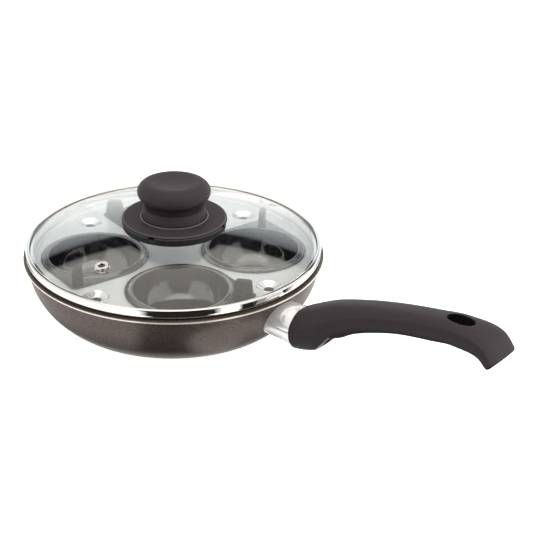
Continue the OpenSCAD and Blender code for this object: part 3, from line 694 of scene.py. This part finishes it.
def build_cup(i):
    place = (Matrix.Rotation(math.radians(CUP_TURN + 90 * (i - 1)), 4, "Z")
             @ Matrix.Translation((CUP_RING * MM, 0, 0)))
    top = PLATE_Z + 2.1
    mouth = top - 0.7
    bead_r = 0.95
    turns = [math.sin(math.radians(90 * k / 28)) for k in range(29)]
    inner = [(bowl_at(t), mouth - CUP_DEPTH * t) for t in reversed(turns)]
    outer = [(bowl_at(t) + CUP_T, mouth - (CUP_DEPTH + CUP_T) * t) for t in turns[1:]]
    outline = [(0, mouth - CUP_DEPTH)] + inner
    outline += arc(CUP_R + bead_r, top - bead_r, bead_r, 168, 20, 8)
    outline += [(CUP_R + 2.4, top - 1.1), (CUP_R + 2.9, PLATE_Z + CUP_T + 0.05),
                (CUP_R + 3.4, PLATE_Z + CUP_T), (CUP_R + 3.4, PLATE_Z), (CUP_R + CUP_T, PLATE_Z)]
    outline += outer + [(0, mouth - CUP_DEPTH - CUP_T)]

    # The top of the bead gets the pale coating, a painted highlight line
    def pick(a, b):
        return cup_bead_highlight if min(a[1], b[1]) > top - 0.25 else cup_coat

    bowl = lathe(f"cup_bowl_{i}", outline, f"cup_{i}", [cup_coat, cup_bead_highlight], pick, turns=128,
                 place=place, sharp=55)
    # The flange is a round edge and a small round tip, joined by straight lines that touch both
    b = math.degrees(math.acos((CUP_FLANGE - TONGUE_TIP) / TONGUE_D))
    edge = arc(0, 0, CUP_FLANGE, b, 360 - b, 120) + arc(TONGUE_D, 0, TONGUE_TIP, -b, b, 24)
    spin = Matrix.Rotation(math.radians(TONGUE_TURN), 4, "Z")
    flange = plate(f"cup_flange_{i}", [edge, circle(0, 0, CUP_R + 3.2, 128, True)], PLATE_Z,
                   PLATE_Z + CUP_T, f"cup_{i}", [cup_coat], bevel=0.2, place=place @ spin)
    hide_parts(f"cup_{i}")
    low, r, taper = PLATE_Z + CUP_T, 2.2, 1
    face = [(0, 0), (GRIP_LEN, 0)] + arc(GRIP_LEN - taper - r, GRIP_H - r, r, 0, 90, 8)
    face += arc(taper + r, GRIP_H - r, r, 90, 180, 8)
    upright = (Matrix.Translation((GRIP_FROM * MM, GRIP_T / 2 * MM, low * MM))
               @ Matrix.Rotation(math.radians(90), 4, "X"))
    grip = plate(f"cup_grip_body_{i}", [face], 0, GRIP_T, f"cup_{i}", [grip_black], bevel=0.5,
                 place=place @ spin @ upright)
    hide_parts(f"cup_grip_{i}")


# Lid

def glass_z(r):
    """The height of the glass's upper face at this radius."""
    return GLASS_TOP - GLASS_R + math.sqrt(GLASS_R ** 2 - r * r)


def under_z(r):
    """The height of the glass's lower face at this radius."""
    return GLASS_TOP - GLASS_R + math.sqrt((GLASS_R - GLASS_T) ** 2 - r * r)


def build_glass():
    steps, hole_r = 60, 4.2
    marks = [hole_r + (GLASS_EDGE - hole_r) * i / steps for i in range(steps + 1)]
    outline = [(r, glass_z(r)) for r in marks] + [(r, under_z(r)) for r in reversed(marks)]
    obj = lathe("lid_dome", outline, None, [glass], turns=256, sharp=50)
    # Each face is given the true direction of its sphere, so that reflections don't ripple
    centre = Vector((0, 0, (GLASS_TOP - GLASS_R) * MM))
    mesh = obj.data
    normals = []
    for poly in mesh.polygons:
        mid = poly.center - centre
        steep = abs(poly.normal.dot(mid.normalized())) < 0.7
        for v in poly.vertices:
            out = (mesh.vertices[v].co - centre).normalized()
            if poly.normal.dot(mid) < 0:
                out = -out
            normals.append(tuple(poly.normal if steep else out))
    mesh.normals_split_custom_set(normals)
    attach(obj, "lid")
    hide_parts("lid_glass")


def build_band():
    gap = 0.05
    pocket = GLASS_EDGE + gap
    lip_in = BAND_R - 2.6
    lip_z = glass_z(lip_in)
    bead_z = FLANGE_Z + 1.25
    seat_r = GLASS_EDGE - 4
    seat_z = under_z(seat_r)
    skirt_in, skirt_out, skirt_z = 96.3, 96.9, FLANGE_Z - 1.6
    # From the foot on the tray, up the outside, over the glass and down the inside to the skirt
    outline = [(pocket - 2, FLANGE_Z), (pocket - 0.9, FLANGE_Z), (pocket - 0.7, FLANGE_Z + 0.2),
               (pocket - 0.7, bead_z - 0.3), (pocket + 0.1, bead_z), (BAND_R - 0.35, bead_z + 0.35),
               (BAND_R - 0.1, bead_z + 1), (BAND_R - 0.25, bead_z + 1.7), (BAND_R - 0.05, BAND_TOP - 1.6),
               (BAND_R, BAND_TOP - 0.9), (BAND_R - 0.4, BAND_TOP - 0.25),
               (BAND_R - 0.95, BAND_TOP - 0.02), (lip_in + 0.5, lip_z + 0.65), (lip_in, lip_z + 0.45),
               (lip_in, lip_z + gap), (pocket, glass_z(pocket) + gap),
               (pocket, under_z(GLASS_EDGE) - gap), (seat_r, seat_z - gap), (skirt_in, seat_z - 0.25),
               (skirt_in, skirt_z), (skirt_out, skirt_z), (skirt_out, seat_z - 1.05),
               (pocket - 2, under_z(GLASS_EDGE) - 0.75)]

    # Below the bead, the recess gets the dark brown steel, painted shade in the gap
    def pick(a, b):
        if min(a[0], b[0]) < pocket - 1.2 or max(a[1], b[1]) > bead_z + 0.7:
            return polished
        # The bead's crest gets the pale steel: a painted highlight line
        on_bead = min(a[1], b[1]) > bead_z + 0.03 and max(a[0], b[0]) > BAND_R - 0.9
        return edge_highlight_steel if on_bead else band_gap_shade

    obj = lathe("lid_rim", softened(outline, 0.4, 4), "lid", [polished, band_gap_shade, edge_highlight_steel], pick,
                turns=256, sharp=60)
    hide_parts("lid_band")


def build_eyelet():
    tilt = math.asin(EYELET_RING / GLASS_R)
    place = (Matrix.Rotation(math.radians(EYELET_TURN), 4, "Z")
             @ Matrix.Translation((EYELET_RING * MM, 0, glass_z(EYELET_RING) * MM))
             @ Matrix.Rotation(tilt, 4, "Y"))
    bore, barrel, head, foot = 2, 3.2, 4.9, -4.3
    outline = [(bore, foot), (barrel, foot), (barrel, 0.05), (head, 0.05), (head, 0.4), (head - 0.5, 0.9),
               (bore + 0.6, 0.9), (bore, 0.3)]

    # Inside the steam hole: painted shade
    def pick(a, b):
        return recess_shade if max(a[0], b[0]) < bore + 0.3 else eyelet_steel

    obj = lathe("steam_eyelet", softened(outline, 0.25, 4), "lid", [eyelet_steel, recess_shade], pick,
                turns=96, place=place, sharp=60)
    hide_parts("vent_eyelet")


def build_knob():
    z = KNOB_Z
    top = KNOB_TOP
    collar_z, bulge_z = z + 7.6, top - 11.2
    boss_r, wall_r, inside_z = 7, 18.8, top - 8.7
    insert_r, insert_z = 4.55, GUARD_Z + 17.2
    outline = [(insert_r, GUARD_Z), (boss_r, GUARD_Z), (boss_r, inside_z), (wall_r, inside_z), (wall_r, z),
               (22.5, z), (21.1, collar_z), (20.8, z + 7.9), (20.9, z + 11), (21.6, top - 12.5),
               (23.2, top - 11.4), (24.3, top - 10.1), (25, top - 8.3), (25.15, top - 6.7),
               (24.8, top - 4.8), (23.8, top - 3), (22, top - 1.4), (19.4, top - 0.3), (16.8, top),
               (14, top - 0.2), (10, top - 0.75), (5.5, top - 1.05), (0, top - 1.1), (0, insert_z),
               (insert_r, insert_z)]

    # The neck between collar and head gets the darker plastic, painted shade
    def pick(a, b):
        outside = min(a[0], b[0]) > 20
        in_neck = collar_z < min(a[1], b[1]) and max(a[1], b[1]) < bulge_z
        return neck_shade if outside and in_neck else black

    obj = lathe("knob_body", softened(outline, 1.4, 5), "lid", [black, neck_shade], pick,
                turns=160, sharp=55)
    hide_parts("knob")


def build_guard():
    """The disc under the knob: a dark ring below, partly black rubber and partly painted shade under the
    disc, a step around its edge with painted shade in its groove and a painted highlight on its rim, and a
    bead at the knob's foot with a painted highlight.
    """
    z = KNOB_Z
    r = GUARD_R
    low = GUARD_Z + 2
    outline = [(7.05, GUARD_Z), (19, GUARD_Z), (19, z - 2.2), (r - 3, z - 2.2), (r - 3, GUARD_Z - 2.2),
               (r - 0.8, GUARD_Z - 2.4), (r - 0.8, low), (r - 0.1, low), (r, low + 0.3), (r, z - 1.5),
               (r - 0.6, z - 1.3), (r - 0.6, z - 1), (r - 0.15, z - 0.9), (r - 0.6, z - 0.5),
               (r - 1.5, z - 0.15), (r - 3, z), (23.5, z), (23.4, z + 0.6), (22.6, z + 0.6), (22.4, z),
               (7.05, z)]

    def pick(a, b):
        x, y = (a[0] + b[0]) / 2, (a[1] + b[1]) / 2
        # The ring under the guard's edge: partly black rubber, partly painted shade
        if r - 3.1 < x < r - 0.6 and y < low + 0.01:
            return dark_seal_and_shade
        # The groove under the guard's edge step: painted shade
        if r - 0.7 < x < r - 0.45 and y < z - 0.9:
            return recess_shade
        # The guard's rim gets the paler plastic, a painted highlight
        if x > r - 1.6:
            return guard_edge_highlight
        # The bead at the knob's foot is paler: a painted highlight line
        return painted_highlight_plastic if 22.5 < x < 23.5 and y > z + 0.2 else black

    looks = [black, dark_seal_and_shade, painted_highlight_plastic, guard_edge_highlight, recess_shade]
    obj = lathe("knob_disc", softened(outline, 0.35, 4), None, looks, pick, turns=192, sharp=55)
    notch_half, notch_depth = 2.2, 1.6
    notch_low, notch_top = GUARD_Z + 1.4, GUARD_Z + 3.3
    corners = [(-notch_half, notch_low), (notch_half, notch_low), (notch_half, notch_top),
               (-notch_half, notch_top)]
    for k in range(4):
        a = math.radians(21 + 90 * k)
        c, s = math.cos(a), math.sin(a)
        tool = [[(d * c - u * s, d * s + u * c, v) for u, v in corners] for d in (r - notch_depth, r + 2)]
        cut(obj, sweep("notch_tool", tool, None, [recess_shade]))
    # The notches get painted shade
    for face in obj.data.polygons:
        at = face.center / MM
        if r - 1.75 < math.hypot(at.x, at.y) < r - 0.12 and low < at.z < notch_top + 0.05:
            face.material_index = looks.index(recess_shade)
    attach(obj, "lid")
    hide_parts("knob_guard")


build_pan()
build_handle()
build_ferrule()
build_tray()
for i in range(1, 5):
    build_cup(i)
build_glass()
build_band()
build_eyelet()
build_knob()
build_guard()


# Floor, light and camera

def turn_of(look, vector):
    """The angle to the right of the direction from the pan to the camera, in radians."""
    return look.math("ARCTAN2", look.along(vector, RIGHT), look.along(vector, -AWAY))


def front_share(look, vector, half, soft):
    """0 in a wedge on the camera's side of the pan and 1 outside it. half and soft are in degrees."""
    to_right = math.radians(8)
    off = look.math("ABSOLUTE", look.math("SUBTRACT", turn_of(look, vector), to_right))
    return look.mapped(off, math.radians(half - soft), math.radians(half + soft), 0, 1)


def build_floor():
    """A white table. Reflections see it dark in front of the pan, with a painted shadow below the handle's
    outer part and painted shade close to the pan, and painted light under the pan and below the ferrule.
    """
    bm = bmesh.new()
    bmesh.ops.create_grid(bm, x_segments=1, y_segments=1, size=6)
    obj = finish_mesh(bm, "floor", None, [], weighted=False, sharp=0)
    look = Look("floor")
    place = look.node("ShaderNodeNewGeometry").outputs["Position"]
    length = look.node("ShaderNodeVectorMath", operation="LENGTH")
    look.link(place, length.inputs[0])
    away = length.outputs["Value"]
    parts = look.node("ShaderNodeSeparateXYZ")
    look.link(place, parts.inputs[0])
    # Painted light in reflections: under the pan, and in a spot below the ferrule
    spot = look.node("ShaderNodeVectorMath", operation="DISTANCE")
    spot.inputs[1].default_value = (0.1, -0.045, 0)
    look.link(place, spot.inputs[0])
    near = look.math("MAXIMUM", look.mapped(away, 0.085, 0.092, 1, 0),
                     look.mapped(spot.outputs["Value"], 0.02, 0.032, 1, 0))
    # Light outside the front wedge, less so to the left, and painted shade close to the pan
    left = look.mapped(turn_of(look, place), -0.8, 0.8, 0.85, 1)
    side = look.math("MULTIPLY", front_share(look, place, 20, 3), left)
    side = look.math("MULTIPLY", side, look.mapped(away, 0.09, 0.112, 0.3, 1))
    # Painted shadow below the handle, seen only in reflections
    aside = look.math("ABSOLUTE", look.math("SUBTRACT", parts.outputs[1], 0.033))
    under = look.math("MULTIPLY", look.mapped(parts.outputs[0], 0.125, 0.14, 0, 1),
                      look.mapped(aside, 0.055, 0.063, 1, 0))
    light = look.math("MULTIPLY", look.math("MAXIMUM", near, side), look.math("SUBTRACT", 1, under))
    light = look.math("MAXIMUM", light, 0.01)
    glossy = look.path("Glossy")
    seen = look.math("MAXIMUM", look.path("Camera", "Transmission"), look.math("MULTIPLY", light, glossy))
    tone = look.mapped(look.noise(3, 2), 0, 1, 0.78, 0.8)
    dimmed = look.math("SUBTRACT", 1, look.math("MULTIPLY", look.path("Diffuse"), 0.55))
    tone = look.math("MULTIPLY", tone, dimmed)
    tone = look.math("MULTIPLY", tone, look.math("MAXIMUM", light, look.math("SUBTRACT", 1, glossy)))
    diffuse = look.shader("ShaderNodeBsdfDiffuse", Color=tone)
    strength = look.math("MULTIPLY", seen, 0.84)
    glow = look.shader("ShaderNodeEmission", Color=(1, 0.985, 0.96), Strength=strength)
    both = look.node("ShaderNodeAddShader")
    look.link(diffuse, both.inputs[0])
    look.link(glow, both.inputs[1])
    obj.data.materials.append(look.done(both.outputs[0]))


# What reflections see behind the pan: degrees above the horizon, and the colour there
BACK_WALL = ((0, (1, 1, 0.98)), (15, (0.76, 0.78, 0.79)), (22, (0.68, 0.73, 0.75)),
             (25, (0.54, 0.57, 0.59)), (27.8, (0.34, 0.35, 0.38)), (28.8, (0.008, 0.008, 0.01)),
             (33.6, (0.012, 0.011, 0.012)), (34.3, (0.53, 0.51, 0.47)), (38, (0.72, 0.68, 0.62)),
             (45, (0.8, 0.74, 0.67)))


def build_world():
    """A white studio. Metal and glass also see its dark camera side, and a dark gap between the back
    wall and the light above it."""
    look = Look("studio", world=True)
    way = look.coordinates("Generated")
    degrees = 180 / math.pi
    rise = look.math("MULTIPLY", look.math("ARCSINE", look.along(way, UP)), degrees)
    turn = look.math("MULTIPLY", turn_of(look, way), degrees)
    front = look.math("MAXIMUM", front_share(look, way, 31, 2), look.mapped(rise, 56, 62, 0, 1))
    front = look.mixed(front, (0.018, 0.013, 0.012), (1, 0.985, 0.95))
    over = look.math("ADD", 1, look.mapped(rise, 60, 68, 0, 1.5))
    ramp = look.node("ShaderNodeValToRGB")
    look.link(look.math("DIVIDE", rise, 90), ramp.inputs[0])
    for i, (at, color) in enumerate(BACK_WALL):
        mark = ramp.color_ramp.elements[i] if i < 2 else ramp.color_ramp.elements.new(at / 90)
        mark.position = at / 90
        mark.color = (*color, 1)
    back = look.mapped(look.math("ABSOLUTE", turn), 138, 146, 0, 1)
    seen = look.blend(back, look.shader("ShaderNodeBackground", Color=front, Strength=over),
                      look.shader("ShaderNodeBackground", Color=ramp.outputs[0], Strength=1.7))
    white = look.shader("ShaderNodeBackground", Color=(1, 1, 1), Strength=1.0)
    light = look.shader("ShaderNodeBackground", Color=(1, 1, 1), Strength=0.5)
    around = look.blend(look.path("Glossy", "Transmission"), light, seen)
    look.done(look.blend(look.path("Camera"), around, white))
    bpy.context.scene.world = look.material


def lamp(name, at, to, size, power):
    """A soft lamp that only lights: neither the camera nor a reflection sees it."""
    data = bpy.data.lights.new(name, "AREA")
    data.shape = "RECTANGLE"
    data.size, data.size_y = size
    data.energy = power
    obj = bpy.data.objects.new(name, data)
    obj.location = at
    obj.rotation_euler = (Vector(to) - Vector(at)).to_track_quat("-Z", "Y").to_euler()
    obj.visible_camera = obj.visible_glossy = obj.visible_transmission = False
    bpy.context.scene.collection.objects.link(obj)


# The camera, from the fit: turn about Z, fall below the horizon and roll, all in radians
TURN, FALL, ROLL = math.radians(41), 0.4753, 0.0274
DISTANCE, FOCAL_PX, PHOTO_PX = 0.80627, 1142.87, 540
RIGHT = Vector((math.cos(TURN), math.sin(TURN), 0))
AWAY = Vector((-math.sin(TURN), math.cos(TURN), 0))
UP = Vector((0, 0, 1))


def seen_from(right, away, up):
    """A point in metres from the pan's centre, in the camera's sense of right and away."""
    return RIGHT * right + AWAY * away + UP * up


def build_camera():
    look = AWAY * math.cos(FALL) - UP * math.sin(FALL)
    lift = AWAY * math.sin(FALL) + UP * math.cos(FALL)
    x = RIGHT * math.cos(ROLL) + lift * math.sin(ROLL)
    y = lift * math.cos(ROLL) - RIGHT * math.sin(ROLL)
    place = Matrix((x, y, -look)).transposed().to_4x4()
    place.translation = seen_from(0.06688, 0, 0.02482) - look * DISTANCE
    data = bpy.data.cameras.new("camera")
    data.sensor_width = 36
    data.lens = data.sensor_width * FOCAL_PX / PHOTO_PX
    data.clip_start = 0.01
    obj = bpy.data.objects.new("camera", data)
    obj.matrix_world = place
    bpy.context.scene.collection.objects.link(obj)
    bpy.context.scene.camera = obj


build_floor()
build_world()
centre = seen_from(0.05, 0, 0.04)
lamp("top", seen_from(0, -0.2, 1.3), centre, (1.3, 1.0), 5)
lamp("front", seen_from(0, -1.1, 0.4), centre, (1.2, 0.6), 3.5)
lamp("left", seen_from(-1.1, -0.1, 0.5), centre, (0.5, 0.9), 5)
lamp("right", seen_from(1.2, -0.1, 0.6), centre, (0.5, 0.9), 14)
build_camera()

bpy.context.scene.view_settings.view_transform = "Standard"
